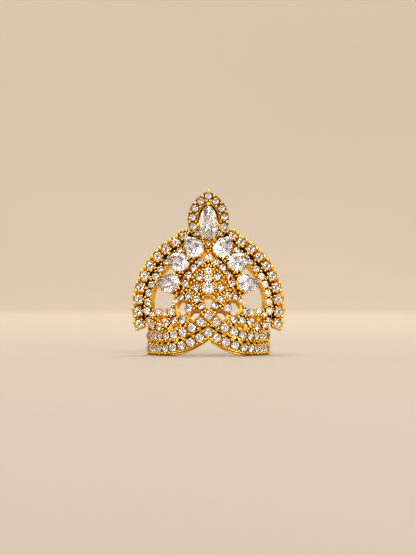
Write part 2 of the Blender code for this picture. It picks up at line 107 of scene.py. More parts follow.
WINDOWS = [
    [(10.9, 25.0), (12.9, 22.4), (10.3, 22.6), (8.5, 23.2)],
    [(15.9, 13.2), (15.9, 15.4), (15.3, 17.6), (14.6, 18.9), (10.1, 17.7), (9.6, 16.4), (10.4, 14.4), (10.9, 13.2)],
    [(2.5, 12.2), (4.3, 12.4), (5.25, 11.3), (4.7, 10.1), (3.2, 10.45)],
]
OVAL_WINDOW = (7.4, 13.2, 1.25, 1.85)
CENTRE_WINDOW = [(-1.2, 16.5), (1.2, 16.5), (1.3, 15.0), (0.75, 13.4), (-0.75, 13.4), (-1.3, 15.0)]
GIRDLE = 0.15  # height of a stone's girdle over its seat
BUMP_HEIGHT = 0.75
MIDDLE_DEPTH = -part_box("crown_frame")[0].y / MM - BUMP_HEIGHT


def smoothstep(t):
    t = min(max(t, 0.0), 1.0)
    return t * t * (3.0 - 2.0 * t)


def band_plan(steps=248):
    """(length, x, y) along one half of the band's face, seen from above."""
    step = BAND_LENGTH / steps
    length, x, y = 0.0, 0.0, 0.0
    plan = [(length, x, y)]
    for _ in range(steps):
        turn = BAND_TURN * smoothstep((length + step / 2) / BAND_TURN_LENGTH)
        x += step * cos(turn)
        y += step * sin(turn)
        length += step
        plan.append((length, x, y))
    return plan


PLAN = band_plan()


def lerp_table(rows, value, key, want):
    """The column want at value of the column key, in rows that rise along key, run on straight past the end."""
    index = bisect_left(rows, value, 1, len(rows) - 1, key=lambda row: row[key])
    first, second = rows[index - 1], rows[index]
    share = (value - first[key]) / (second[key] - first[key])
    return first[want] + share * (second[want] - first[want])


def plan_x(length):
    return lerp_table(PLAN, length, 0, 1)


def turns(count, offset=0.0):
    """Angles at equal steps round a circle."""
    return [2 * pi * (i + offset) / count for i in range(count)]


def smooth_path(points, steps=12, closed=False):
    """A Catmull-Rom curve through points."""
    points = [Vector(p) for p in points]
    if closed:
        ends = [points[-1]] + points + points[:2]
    else:
        ends = [2 * points[0] - points[1]] + points + [2 * points[-1] - points[-2]]
    curve = []
    for a, b, c, d in zip(ends, ends[1:], ends[2:], ends[3:]):
        for i in range(steps):
            t = i / steps
            curve.append(
                0.5 * (2 * b + (c - a) * t + (2 * a - 5 * b + 4 * c - d) * t * t + (3 * b - a - 3 * c + d) * t ** 3)
            )
    return curve if closed else curve + [points[-1]]


def spaced(path, count, pitch=None):
    """Points at equal distances along a path, both ends included, or at a pitch from its start."""
    lengths = list(accumulate(((b - a).length for a, b in zip(path, path[1:])), initial=0.0))
    pitch = pitch or lengths[-1] / (count - 1)
    found = []
    for i in range(count):
        want = min(i * pitch, lengths[-1])
        k = max(bisect_left(lengths, want - 1e-9), 1)
        found.append(path[k - 1].lerp(path[k], (want - lengths[k - 1]) / (lengths[k] - lengths[k - 1])))
    return found


def directions(path, closed=False):
    """Which way a path runs at each of its points."""
    count = len(path)
    if closed:
        return [path[(i + 1) % count] - path[i - 1] for i in range(count)]
    return [path[min(i + 1, count - 1)] - path[max(i - 1, 0)] for i in range(count)]


def from_centre(line):
    """A line of (x, z) with a point before it, where it would meet the centre line."""
    first, second = line[:2]
    return [Vector((0.0, first.y - first.x * (second.y - first.y) / (second.x - first.x)))] + line


def both_sides(path):
    """Half an outline of (x, z) with its mirror image before it."""
    return [Vector((-p.x, p.y)) for p in reversed(path[1:])] + list(path)


def mirror_path(path):
    return [Vector((-x, z)) for x, z in path]


ARCH = smooth_path(ARCH_PATH)
ARCH_ROWS = [(p.y, p.x + ARCH_HALF_WIDTH) for p in ARCH]


def row_height(x, low, rise, reach):
    return low + rise * max(1 - abs(x) / reach, 0.0) ** 2


def face_depth(x, z):
    """How far the gold face lies behind the middle of the brow."""
    front = LEAN * max(z - LEAN_FROM, 0.0)
    arch_half = max(lerp_table(ARCH_ROWS, max(z, ARCH_ROWS[0][0]), 0, 1), 0.5)
    share = min(abs(x) / arch_half, 1.05)
    dome = front + max(ARCH_DEPTH - front, 0.0) * share ** ROUNDING
    blend = smoothstep((z - row_height(x, *ROW_B) - 0.6) / BLEND_HEIGHT)
    return lerp_table(PLAN, abs(x), 1, 2) * (1 - blend) + dome * blend


def face_point(x, z):
    return Vector((x, face_depth(x, z), z))


def face_normal(x, z, step=0.25):
    across = (face_depth(x + step, z) - face_depth(x - step, z)) / (2 * step)
    up = (face_depth(x, z + step) - face_depth(x, z - step)) / (2 * step)
    return Vector((across, -1.0, up)).normalized()


# ---- seats


def seat(point, normal, along):
    """A frame whose Z is the normal and whose X runs as near to along as it can."""
    z = normal.normalized()
    x = (along - along.dot(z) * z).normalized()
    return Matrix.Translation(point) @ Matrix((x, z.cross(x), z)).transposed().to_4x4()


def face_seat(x, z, along=(0.0, 1.0)):
    return seat(face_point(x, z), face_normal(x, z), Vector((along[0], 0.0, along[1])))


def forward_seat(x, depth, z, along=(0.0, 1.0)):
    return seat(Vector((x, depth, z)), FORWARD, Vector((along[0], 0.0, along[1])))


def moved(place, x=0.0, y=0.0, z=0.0):
    """A seat moved along its own axes."""
    return place @ Matrix.Translation((x, y, z))


def mirrored(place):
    """The same seat on the crown's other side."""
    return Matrix.Diagonal((-1, 1, 1, 1)) @ place @ Matrix.Diagonal((1, -1, 1, 1))


def both(place):
    return [place, mirrored(place)]


def each_side(seats):
    """A row of seats, then the row opposite."""
    return seats, [mirrored(place) for place in seats]


def mirror_line(seats):
    """A row of seats run through to the crown's other side, X the same way along it throughout."""
    half_turn = Matrix.Diagonal((-1, -1, 1, 1))
    return [mirrored(place) @ half_turn for place in reversed(seats[1:])] + seats


def doubled(seats):
    """(seat, size) pairs of one side with their mirror images. A seat on the centre line is kept once."""
    found = []
    for place, size in seats:
        for one in both(place) if abs(place.translation.x) > 1e-6 else [place]:
            found.append((one, size))
    return found


def tangent_seats(path, count, pitch=None):
    """Seats at equal distances along a path of (x, z) on the face, X along the path."""
    points = spaced(path, count, pitch)
    return [face_seat(*point, along) for point, along in zip(points, directions(points))]


def row_seats(row, count=10):
    """Seats along one half of a band row, from the centre, X along the row."""
    path = [Vector((x, row_height(x, *row))) for length, x, _ in PLAN if length <= BAND_STONES_END]
    points = spaced([face_point(*p) for p in path], count)
    ways = [Vector((1.0, 0.0, 0.0))] + directions(points)[1:]
    return [seat(face_point(p.x, p.z), face_normal(p.x, p.z), along) for p, along in zip(points, ways)]


def turned_forward(place, start=9.0, full=17.0, most=0.5):
    """A seat far out on the curve, turned part of the way to the front and raised to clear the wall."""
    share = most * smoothstep((place.translation.x - start) / (full - start))
    normal = place.col[2].to_3d().lerp(FORWARD, share)
    return moved(seat(place.translation, normal, place.col[0].to_3d()), z=0.4 * share)


def fan_seats():
    found = []
    for name, x, z, tip in FAN_PEARS:
        tip = radians(tip)
        place = moved(face_seat(x, z, (cos(tip), sin(tip))), z=FAN_PEAR_LIFT)
        found += [(f"pear_stone_{name}_right", place), (f"pear_stone_{name}_left", mirrored(place))]
    return found


FAN_SEATS = fan_seats()
CENTRE_SEATS = [(name, moved(face_seat(0.0, z), z=lift), size) for name, z, size, lift in CENTRE_STONES]
TOP_PEAR_SEAT = forward_seat(0.0, TOP_PEAR_DEPTH, TOP_PEAR_HEIGHT)
# The outer arch's seats on one side, X pointing inwards.
HALO_SEATS = [forward_seat(x, HALO_DEPTH, z, (-x, HALO_CENTRE - z)) for x, z in HALO_CUPS]
FINIAL_HALF = smooth_path(FINIAL_PATH)
FINIAL_POINTS = spaced(FINIAL_HALF, FINIAL_SIDE_STONES, FINIAL_PITCH)
FINIAL_SEATS = [place for place, _ in doubled([(forward_seat(p.x, FINIAL_DEPTH, p.y), 0) for p in FINIAL_POINTS])]
# Round stones fused to the casting, each with its seat and diameter.
BAND_ROWS = [row_seats(ROW_A), row_seats(ROW_B)]
BAND_STONES = [(place, BAND_STONE) for seats in BAND_ROWS for place in seats]
ARCH_SEATS = [turned_forward(place) for place in tangent_seats(smooth_path(ARCH_PATH[1:]), ARCH_STONES, ARCH_PITCH)]
ARCH_SHOWN = [place for index, place in enumerate(ARCH_SEATS) if index != ARCH_HIDDEN]
SPADE_SEATS = tangent_seats(smooth_path(SPADE_UPPER), SPADE_UPPER_STONES) + [face_seat(x, z) for x, z in SPADE_LOWER]
SIDE_SEATS = [(turned_forward(face_seat(x, z)), diameter) for x, z, diameter in SIDE_STONES]
TOP_PETAL = (face_seat(0.0, TOP_PETAL_HEIGHT), TOP_PETAL_STONE)
FACE_SEATS = [(place, SPADE_STONE) for place in SPADE_SEATS] + SIDE_SEATS + [TOP_PETAL]

# ---- mesh building


def linked(name, data):
    """A new object in the scene."""
    made = bpy.data.objects.new(name, data)
    bpy.context.scene.collection.objects.link(made)
    return made


class Shells:
    """Closed shells gathered into one mesh, each with a material slot."""

    def __init__(self):
        self.points, self.faces, self.slots = [], [], []

    def add(self, shell, matrix=None, slot=0):
        points, faces = shell
        base = len(self.points)
        self.points += [tuple(matrix @ Vector(p)) for p in points] if matrix else [tuple(p) for p in points]
        self.faces += [[base + i for i in face] for face in faces]
        self.slots += [slot] * len(faces)

    def build(self, name, materials, smooth=35.0):
        mesh = bpy.data.meshes.new(name)
        shift = Vector((0.0, -MIDDLE_DEPTH, 0.0))
        mesh.from_pydata([(Vector(p) + shift) * MM for p in self.points], [], self.faces)
        for made in materials:
            mesh.materials.append(made)
        mesh.polygons.foreach_set("material_index", self.slots)
        mesh.update()
        if smooth:
            mesh.shade_smooth()
            mesh.set_sharp_from_angle(angle=radians(smooth))
        return linked(name, mesh)


def facing_out(points, faces):
    volume = 0.0
    for face in faces:
        first = points[face[0]]
        for i, j in zip(face[1:], face[2:]):
            volume += first.dot(points[i].cross(points[j]))
    return faces if volume > 0 else [face[::-1] for face in faces]


def loft(rings, closed=False):
    """A shell through rings of equal length or of one point, capped at both ends or closed on itself."""
    points, spans = [], []
    for ring in rings:
        spans.append(range(len(points), len(points) + len(ring)))
        points += [Vector(p) for p in ring]
    faces = []
    for low, high in zip(spans, spans[1:] + spans[:closed]):
        count = max(len(low), len(high))
        for i in range(count):
            j = (i + 1) % count
            corners = low[i % len(low)], low[j % len(low)], high[j % len(high)], high[i % len(high)]
            faces.append(list(dict.fromkeys(corners)))
    if not closed:
        faces += [list(span) for span in (spans[0][::-1], spans[-1]) if len(span) > 1]
    return points, facing_out(points, faces)


def turned(profile, sides):
    """A turned shell from (radius, height) pairs. A radius of 0 at either end closes it in a point."""
    return loft([
        [(radius * cos(t), radius * sin(t), z) for t in (turns(sides) if radius else [0.0])]
        for radius, z in profile
    ])


def prism(outline, low, high):
    """An outline of (x, y) carried straight up."""
    return loft([[(x, y, z) for x, y in outline] for z in (low, high)])


def rounded_box(half_width, low, high, radius, steps=3):
    """A closed section with rounded corners, as (side, height) pairs."""
    section = []
    corners = [(half_width, high, 0), (-half_width, high, 90), (-half_width, low, 180), (half_width, low, 270)]
    for x, y, start in corners:
        centre = (x - copysign(radius, x), y - radius if y == high else y + radius)
        for i in range(steps + 1):
            turn = radians(start + 90 * i / steps)
            section.append((centre[0] + radius * cos(turn), centre[1] + radius * sin(turn)))
    return section


def channel_section(half_width, wall, low, ground, high, side=0.0):
    """A trough that stones stand in, as (side, height) pairs."""
    inner, soft = half_width - wall, 0.06
    right = [
        (half_width, low), (half_width, high - soft), (half_width - soft, high),
        (inner + soft, high), (inner, high - soft), (inner, ground),
    ]
    left = [(-u, v) for u, v in reversed(right)]
    return [(u + side, v) for u, v in left[-1:] + right + left[:-1]]


def sweep(path, normals, section, closed=False):
    """A section carried along a path. Its first number lies across the path, its second along the normal."""
    rings = []
    for point, normal, along in zip(path, normals, directions(path, closed)):
        side = along.cross(normal).normalized()
        rings.append([point + side * u + normal * v for u, v in section])
    return loft(rings, closed=closed)


def face_sweep(path, section, closed=False):
    """A section carried along a path of (x, z) on the face."""
    points = [face_point(p.x, p.y) for p in path]
    return sweep(points, [face_normal(p.x, p.y) for p in path], section, closed)


def forward_sweep(path, section):
    """A section carried along a path, square to the front."""
    return sweep(path, [FORWARD] * len(path), section)


def standing(path, depth):
    """A path of (x, z) stood up at a depth."""
    return [Vector((x, depth, z)) for x, z in path]


def slab(outline, near, far):
    """A plate that faces forward, from its outline of (x, z) and its two depths."""
    return loft([standing(outline, near), standing(outline, far)])


def carved(solid, cutters):
    """A shell with other shells, each given with its place, cut out of it in one Boolean."""
    group = bpy.data.collections.new("cutters")
    bpy.context.scene.collection.children.link(group)
    helpers = []
    for shell, place in [(solid, None)] + cutters:
        gathered = Shells()
        gathered.add(shell, place)
        helper = gathered.build("helper", [], smooth=0)
        helpers.append(helper)
        if len(helpers) > 1:
            bpy.context.scene.collection.objects.unlink(helper)
            group.objects.link(helper)
    boolean = helpers[0].modifiers.new("cut", "BOOLEAN")
    boolean.operation = "DIFFERENCE"
    boolean.operand_type = "COLLECTION"
    boolean.collection = group
    boolean.solver = "MANIFOLD"
    graph = bpy.context.evaluated_depsgraph_get()
    result = bpy.data.meshes.new_from_object(helpers[0].evaluated_get(graph))
    shift = Vector((0.0, MIDDLE_DEPTH, 0.0))
    points = [v.co / MM + shift for v in result.vertices]
    faces = [list(face.vertices) for face in result.polygons]
    bpy.data.meshes.remove(result)
    for helper in helpers:
        bpy.data.meshes.remove(helper.data)
    bpy.data.collections.remove(group)
    return points, faces


# ---- cut stones


def culet_place(size):
    """Where a stone's culet lies along its X."""
    return -0.6 * size[2] / (2 + size[2]) * size[0] if isinstance(size, tuple) else 0.0


def outline_point(size, turn, grow=0.0):
    """A point of a stone's outline: a circle for one number, else a pear of a length, width and fullness."""
    if not isinstance(size, tuple):
        radius = size / 2 + grow
        return radius * cos(turn), radius * sin(turn)
    length, width, fullness = size[0] + 2 * grow, size[1] + 2 * grow, size[2]
    widest = 2 * sqrt(1 + fullness) / (2 + fullness) * ((1 + fullness) / (2 + fullness)) ** (fullness / 2)
    radius = sin(turn) * abs(sin(turn / 2)) ** fullness
    return length / 2 * cos(turn), width / 2 * radius / widest


def outline_ring(size, sides, z, grow=0.0, share=1.0, offset=0.0):
    """A stone's outline at a height, grown and then drawn in towards the culet to a share of its size."""
    middle = culet_place(size)
    ring = []
    for turn in turns(sides, offset):
        x, y = outline_point(size, turn, grow)
        ring.append((middle + (x - middle) * share, y * share, z))
    return ring


def cut_stone(size, mains=8):
    """A brilliant cut: table, star, kite and girdle facets above, mains and lower halves below."""
    width = size[1] if isinstance(size, tuple) else size
    crown, pavilion, half_girdle = 0.155 * width, 0.43 * width, 0.012 * width
    points = outline_ring(size, mains, GIRDLE + crown, share=0.56)
    points += outline_ring(size, mains, GIRDLE + crown * 0.58, share=0.79, offset=0.5)
    points += outline_ring(size, 2 * mains, GIRDLE + half_girdle)
    points += outline_ring(size, 2 * mains, GIRDLE - half_girdle)
    points += outline_ring(size, mains, GIRDLE - half_girdle - pavilion * 0.78, share=0.26, offset=0.5)
    points.append((culet_place(size), 0.0, GIRDLE - half_girdle - pavilion))
    star, upper, lower, half, culet = (mains * n for n in (1, 2, 4, 6, 7))
    faces = [list(range(mains))]
    for k in range(mains):
        after, before = (k + 1) % mains, (k - 1) % mains
        g, g1, g2 = 2 * k, 2 * k + 1, (2 * k + 2) % (2 * mains)
        faces += [
            [k, star + k, after],
            [k, star + before, upper + g, star + k],
            [star + k, upper + g, upper + g1],
            [star + k, upper + g1, upper + g2],
            [upper + g, lower + g, lower + g1, upper + g1],
            [upper + g1, lower + g1, lower + g2, upper + g2],
            [lower + g, half + k, lower + g1],
            [lower + g1, half + k, lower + g2],
            [lower + g, half + before, culet],
            [lower + g, culet, half + k],
        ]
    return points, faces


# ---- settings and cutters

BEAD_PROFILE = [(0.0, 1.0), (0.42, 0.9), (0.74, 0.66), (0.95, 0.28), (1.0, -0.05), (0.92, -0.45), (0.72, -0.8)]
BEAD_POST, CLAW_POST = 0.72, 0.6
# The hole behind a stone: radii of its waist and its wide end as shares of the stone's, and depth of its end.
HOLE_WAIST, HOLE_END, HOLE_DEPTH = 0.5, 0.74, -1.9


def collet(size, depth, wall=0.15):
    """An open tube under a stone, narrowing to its foot, with a rim just under the girdle."""
    sides = 40 if isinstance(size, tuple) else 20
    profile = [  # height, reach past the outline, share of it
        (-depth, wall, 0.72), (-0.45 * depth, wall, 0.9), (0.02, wall), (0.1, wall - 0.03), (0.14, wall - 0.08),
        (0.14, 0.02), (0.02, -0.02), (-0.4 * depth, 0.0, 0.72), (-depth, 0.0, 0.6),
    ]
    return loft([outline_ring(size, sides, *row) for row in profile], closed=True)


def bead(radius, depth=1.0, post=BEAD_POST):
    """A ball on a post that reaches down to the ground. The post's radius is a share of the ball's."""
    profile = [(r * radius, z * radius) for r, z in BEAD_PROFILE]
    return turned(profile + [(post * radius, -depth), (0.0, -depth)], 12)


def balls_round(shells, place, size, balls, depth, post=CLAW_POST):
    """Ball prongs round a stone, from (turn in degrees, reach past its outline, radius, height)."""
    for turn, reach, radius, height in balls:
        x, y = outline_point(size, radians(turn), reach)
        shells.add(bead(radius, depth, post), moved(place, x, y, height))


class Beads:
    """Ball prongs, each kept once where two stones share it."""

    def __init__(self, apart=0.42):
        self.apart, self.found = apart, []

    def add(self, place, radius):
        if all((other.translation - place.translation).length >= self.apart for other, _ in self.found):
            self.found.append((place, radius))

    def in_gaps(self, seats, reach, radius, height=0.08):
        """Two at the middle of each gap in a row of seats, one on each side of the row."""
        for a, b in zip(seats, seats[1:]):
            for side in (-reach, reach):
                self.add(moved(a.lerp(b, 0.5), 0.0, side, height), radius)

    def fill(self, shells):
        for place, radius in self.found:
            shells.add(bead(radius), place)


def azure(size):
    """The tapered hole behind a stone."""
    radius = size / 2
    waist, end = HOLE_WAIST * radius, HOLE_END * radius
    return turned([(0.0, -0.3), (0.45 * radius, -0.3), (waist, -1.0), (end, HOLE_DEPTH), (0.0, HOLE_DEPTH)], 14)


def cavity(size):
    """The room that a stone and the hole behind it take."""
    radius = size / 2
    waist, end, clear = HOLE_WAIST * radius, HOLE_END * radius, radius + 0.02
    return turned([(0.0, 1.0), (clear, 1.0), (clear, 0.05), (waist, -0.8), (end, HOLE_DEPTH), (0.0, HOLE_DEPTH)], 20)


def pit(length, width, low, high):
    """The room of a hollow in the ground between settings."""
    return prism([(length / 2 * cos(t), width / 2 * sin(t)) for t in turns(12)], low, high)


def slit(length, width, low, high):
    """A bar with round ends, the room of a narrow opening."""
    ring = []
    for turn in turns(16, 0.5):
        shift = copysign((length - width) / 2, cos(turn))
        ring.append((shift + width / 2 * cos(turn), width / 2 * sin(turn)))
    return prism(ring, low, high)


def path_middle(path):
    return sum(path, Vector((0.0, 0.0))) / len(path)


def through(path, out=3.0, deep=5.0):
    """A cutter through the wall, square to the face at the outline's middle."""
    normal = face_normal(*path_middle(path))
    points = [face_point(p.x, p.y) for p in path]
    return loft([[p - normal * deep for p in points], [p + normal * out for p in points]])


# ---- the casting's wall

WALL_COLUMNS, WALL_ROWS = 62, 46  # columns on each side of the centre
WING_FROM, WING_HEIGHT = 16.9, 10.0  # outside the inner arch the wall's top is level


def oval_path(x, z, half_x, half_z, sides=28):
    return [Vector((x + half_x * cos(t), z + half_z * sin(t))) for t in turns(sides)]


WREATH_HOLES = [oval_path(12.86, 10.05, 0.95, 0.6, 20), oval_path(9.35, 8.05, 0.85, 0.55, 20)]
WINDOW_PATHS = [smooth_path(shape, 8, closed=True) for shape in WINDOWS] + [oval_path(*OVAL_WINDOW)]
CENTRE_PATH = smooth_path(CENTRE_WINDOW, 8, closed=True)
PITS = [  # x, z, length, width, direction in degrees
    (7.15, 22.05, 0.9, 0.8, 0), (4.2, 26.1, 0.9, 0.8, 0), (8.25, 17.1, 0.8, 0.6, 40), (6.6, 17.9, 0.9, 0.7, 0),
    (2.75, 27.8, 1.0, 0.5, 35), (5.1, 25.2, 1.0, 0.5, -50), (2.2, 24.2, 0.8, 0.6, 20), (3.3, 21.0, 0.8, 0.5, -30),
    (4.9, 20.7, 0.8, 0.5, -60), (8.0, 21.4, 0.8, 0.5, -40), (5.7, 14.9, 0.7, 0.5, 10), (4.9, 9.0, 0.8, 0.5, 10),
    (7.0, 8.2, 0.9, 0.5, 10), (14.3, 9.8, 0.8, 0.6, 0), (11.1, 10.5, 0.8, 0.6, 0),
]


def wall_panel():
    """The wall in one curved sheet, up to the line of the inner arch."""
    front, back = [], []
    top_rows = [(p.x, p.y) for p in reversed(ARCH)]
    for i in range(-WALL_COLUMNS, WALL_COLUMNS + 1):
        x = copysign(plan_x(BAND_LENGTH * abs(i) / WALL_COLUMNS), i)
        low = row_height(x, *EDGE)
        high = WING_HEIGHT if abs(x) >= WING_FROM else lerp_table(top_rows, max(abs(x), top_rows[0][0]), 0, 1)
        for j in range(WALL_ROWS + 1):
            z = low + (high - low) * j / WALL_ROWS
            point, normal = face_point(x, z), face_normal(x, z)
            front.append(point - normal * GROUND)
            back.append(point - normal * WALL)
    count, total, last = WALL_ROWS + 1, len(front), 2 * WALL_COLUMNS
    faces = []
    for a in [i * count + j for i in range(last) for j in range(WALL_ROWS)]:
        b = a + count
        faces += [[a, b, b + 1, a + 1], [total + a, total + a + 1, total + b + 1, total + b]]
    for a in range(0, last * count, count):  # the lower and upper edges
        b, c, d = a + count, a + count + WALL_ROWS, a + WALL_ROWS
        faces += [[a, total + a, total + b, b], [d, c, total + c, total + d]]
    for j in range(WALL_ROWS):  # the two ends
        a = last * count + j
        faces += [[j, j + 1, total + j + 1, total + j], [a, total + a, total + a + 1, a + 1]]
    points = front + back
    return points, facing_out(points, faces)


def make_wall(gold, recess, shadow):
    cutters, pits = [(through(CENTRE_PATH), None)], []
    for path in WINDOW_PATHS + WREATH_HOLES:
        cutters += [(through(path), None), (through(mirror_path(path)), None)]
    settings = BAND_STONES + SIDE_SEATS + [TOP_PETAL] + [(place, SPADE_STONE) for place in SPADE_SEATS]
    cutters += [(azure(size), place) for place, size in doubled(settings)]
    for x, z, length, width, turn in PITS:
        turn = radians(turn)
        for place in both(face_seat(x, z, (cos(turn), sin(turn)))):
            cutters.append((pit(length, width, -1.2, 0.3), place))
            # A near-black liner at the bottom of each pit, in slot 2: painted shade.
            pits.append((pit(length + 0.1, width + 0.1, -1.3, -1.1), place))
    for _, place in FAN_SEATS:
        rings = [outline_ring(FAN_PEAR_SIZE, 32, z, 0.0, share) for z, share in ((-4.5, 0.55), (-0.6, 0.5))]
        cutters.append((loft(rings), place))
    cutters += [(azure(size), moved(face_seat(0.0, z), z=0.1)) for _, z, size, _ in CENTRE_STONES]
    shells = Shells()
    shells.add(carved(wall_panel(), cutters))
    # Faces of the ground between the settings take slot 1, the darker recess gold: painted shade.
    for index, face in enumerate(shells.faces):
        corners = [Vector(shells.points[i]) for i in face]
        middle = sum(corners, Vector()) / len(corners)
        depth = (middle - face_point(middle.x, middle.z)).dot(face_normal(middle.x, middle.z))
        if abs(depth + GROUND) < 0.15:
            shells.slots[index] = 1
    for shell, place in pits:
        shells.add(shell, place, slot=2)
    return shells.build("crown_wall", [gold, recess, shadow])


# ---- the band

# Rails along the band: the row each follows, its distance from the row, half its width, the height of its top,
# and whether the slits cut it.
RAILS = [
    (ROW_A, -1.17, 0.12, -0.02, False), (ROW_A, 1.42, 0.5, -0.1, True),
    (ROW_B, -1.42, 0.5, -0.1, True), (ROW_B, 1.25, 0.3, -0.1, False),
]
EDGE_RAILS = [(0.24, RIM_FOOT, 0.0, 0.2), (0.78, -1.0, 0.2, 0.16)]  # distance from the edge, low, high, rounding
BAND_BALL, ROW_BALL, END_BALL, BROW_BALL = 0.45, 0.34, 0.38, 0.46
BALL_HEIGHT = 0.05


def row_line(row, offset, end=BAND_LENGTH - 0.2, steps=90):
    """(x, z) of a line that keeps a distance from a row, measured on the band unrolled, mitred at the centre."""
    line = []
    for i in range(steps + 1):
        length = end * i / steps
        ahead, behind = length + 0.1, max(length - 0.1, 0.0)
        slope = row_height(plan_x(ahead), *row) - row_height(plan_x(behind), *row)
        size = hypot(ahead - behind, slope)
        x = length - offset * slope / size
        if x > 0.5:
            line.append(Vector((plan_x(x), row_height(plan_x(length), *row) + offset * (ahead - behind) / size)))
    return from_centre(line)


def band_slits():
    """Seats and lengths of the slits over the lower row: two beside the centre, then one over each stone."""
    found = [(place, 1.6) for place in both(face_seat(1.3, 7.8, (1.0, -0.55)))]
    for index, place in enumerate(BAND_ROWS[0][1:-1]):
        found += [(one, 1.6 - 0.08 * index) for one in both(moved(place, y=1.6))]
    return found


def make_band(gold, shadow):
    shells, beads = Shells(), Beads()
    slits = [(slit(length, 0.6, -1.6, 0.8), place) for place, length in band_slits()]
    # Near-black liners at the slits' bottoms, in slot 1: painted shade.
    for place, length in band_slits():
        shells.add(slit(length + 0.2, 0.8, -0.85, -0.65), place, slot=1)
    for place, size in doubled(BAND_STONES):
        shells.add(collet(size, 0.9), place)
    for row, offset, half, high, cut in RAILS:
        rail = face_sweep(both_sides(row_line(row, offset)), rounded_box(half, -1.0, high, 0.1, 2))
        shells.add(carved(rail, slits) if cut else rail)
    for seats, sides in zip(BAND_ROWS, ((-1.4,), (-1.4, 1.4))):
        line = mirror_line(seats)
        beads.in_gaps(line, 1.15, BAND_BALL)
        for place in line:
            for side in sides:
                beads.add(moved(place, 0.0, side, BALL_HEIGHT), ROW_BALL)
        for place, outward in zip(both(seats[-1]), (1.15, -1.15)):
            for side in (-1.0, 0.0, 1.0):
                beads.add(moved(place, outward, side, BALL_HEIGHT), END_BALL)
    for place in both(face_seat(plan_x(BAND_LENGTH - 0.3), 3.7)):
        for side in (-0.6, 0.6):
            beads.add(moved(place, side, 0.0, BALL_HEIGHT), END_BALL)
    for offset, low, high, rounding in EDGE_RAILS:
        line = both_sides(row_line(EDGE, offset, BAND_LENGTH))
        shells.add(face_sweep(line, rounded_box(0.24, low, high, rounding)))
    x = plan_x(BAND_LENGTH - 0.2)
    for side in (x, -x):
        end = [Vector((side, z)) for z in (0.1, 2.5, 5.0, 7.5, 9.6)]
        shells.add(face_sweep(end, rounded_box(0.25, RIM_FOOT, 0.05, 0.15)))
    for x, z in ((0.0, 8.65), (0.85, 8.5)):
        for side in (x, -x):
            beads.add(face_seat(side, z), BROW_BALL)
    beads.fill(shells)
    return shells.build("crown_band_settings", [gold, shadow])


# ---- the face

RIMS = [(path, 0.2, -0.05, 0) for path in WINDOW_PATHS[:2]]  # outline, half width, height, slot
# Slots 1 and 2 take darker copies of the gold: painted shade on these rims and round the wreath holes.
RIMS += [(WINDOW_PATHS[2], 0.3, 0.0, 1), (WINDOW_PATHS[3], 0.42, 0.1, 1)]
RIMS += [(path, 0.4, 0.0, 2) for path in WREATH_HOLES]
CENTRE_CLAWS = [(45, 135, 225, 315), (0, 90, 270)]  # turns, for each of the two centre stones
# Turn, reach, radius and height, as for the outer arch's balls.
FAN_CLAWS = [(0, 0.26, 0.4, 0.12), (180, 0.12, 0.5, 0.12), (115, 0.12, 0.42, 0.12), (245, 0.12, 0.42, 0.12)]
RAISED_BEADS = [  # balls on tall posts at the broad ends of the pears: x, z, radius
    (5.0, 26.75, 0.42), (3.85, 26.6, 0.42), (4.4, 25.9, 0.4), (5.5, 25.9, 0.4),
    (8.25, 21.95, 0.42), (7.7, 22.75, 0.4), (6.95, 22.75, 0.42), (6.1, 21.75, 0.42), (7.9, 18.45, 0.42),
    (8.75, 17.9, 0.42), (8.35, 17.1, 0.36),
]
RAISED_HEIGHT, RAISED_POST = 0.8, 2.0
BROW_BEADS = [(0.75, 30.1, 0.42), (0.0, 28.9, 0.46), (1.35, 29.3, 0.36), (0.62, 29.4, 0.3), (1.9, 28.3, 0.34)]
GRID_STEP = 0.12  # of the search for gaps between the stones
LEAST_ROOM, BEST_ROOM, MOST_ROOM = 0.2, 0.32, 0.8  # around a ball prong in a gap
ROOM_OVERLAP, LARGEST_BEAD, BEAD_PACKING = 0.16, 0.46, 0.86


def window_rim(path, half, high, bevel=0.4):
    """A lip round a window. Its top slopes down towards the opening, its inner side is the window's wall."""
    line = []
    middle = path_middle(path)
    outward = 1.0
    for point, along in zip(path, directions(path, closed=True)):
        out = Vector((along.y, -along.x)).normalized()
        if out.dot(point - middle) < 0:
            out, outward = -out, -1.0
        line.append(point + out * half)
    low, soft = RIM_FOOT, 0.06
    section = [
        (half, low), (half, high - soft), (half - soft, high), (half - 2.5 * soft, high),
        (soft - half, high - bevel), (-half, high - bevel - soft), (-half, low),
    ]
    rim = face_sweep(line, [(u * outward, v) for u, v in section], closed=True)
    near = []
    for place, size in doubled(FACE_SEATS):
        if min((place.translation.xz - p).length for p in line) < size / 2 + half:
            near.append((cavity(size), place))
    return carved(rim, near) if near else rim


def clearance(x, z, discs, outlines):
    """How far points are from the nearest stone's rim or outline, in the plane of the front view."""
    far = np.full(x.shape, 9.0)
    for (cx, cz), radius in discs:
        far = np.minimum(far, np.hypot(x - cx, z - cz) - radius)
    for path, margin in outlines:
        inside = np.zeros(x.shape, bool)
        near = np.full(x.shape, 9.0)
        for a, b in zip(path, path[1:] + path[:1]):
            along = b - a
            share = ((x - a.x) * along.x + (z - a.y) * along.y) / max(along.length_squared, 1e-9)
            share = np.clip(share, 0.0, 1.0)
            near = np.minimum(near, np.hypot(x - a.x - share * along.x, z - a.y - share * along.y))
            with np.errstate(divide="ignore", invalid="ignore"):
                left = x < a.x + (z - a.y) / (b.y - a.y) * (b.x - a.x)
            inside ^= ((a.y > z) != (b.y > z)) & left
        far = np.minimum(far, np.where(inside, -near, near) - margin)
    return far


def pear_path(x, z, tip, size):
    """A pear's outline in the front view, its tip at an angle in degrees."""
    across, up = cos(radians(tip)), sin(radians(tip))
    points = [outline_point(size, turn) for turn in turns(36)]
    return [Vector((x + u * across - v * up, z + u * up + v * across)) for u, v in points]


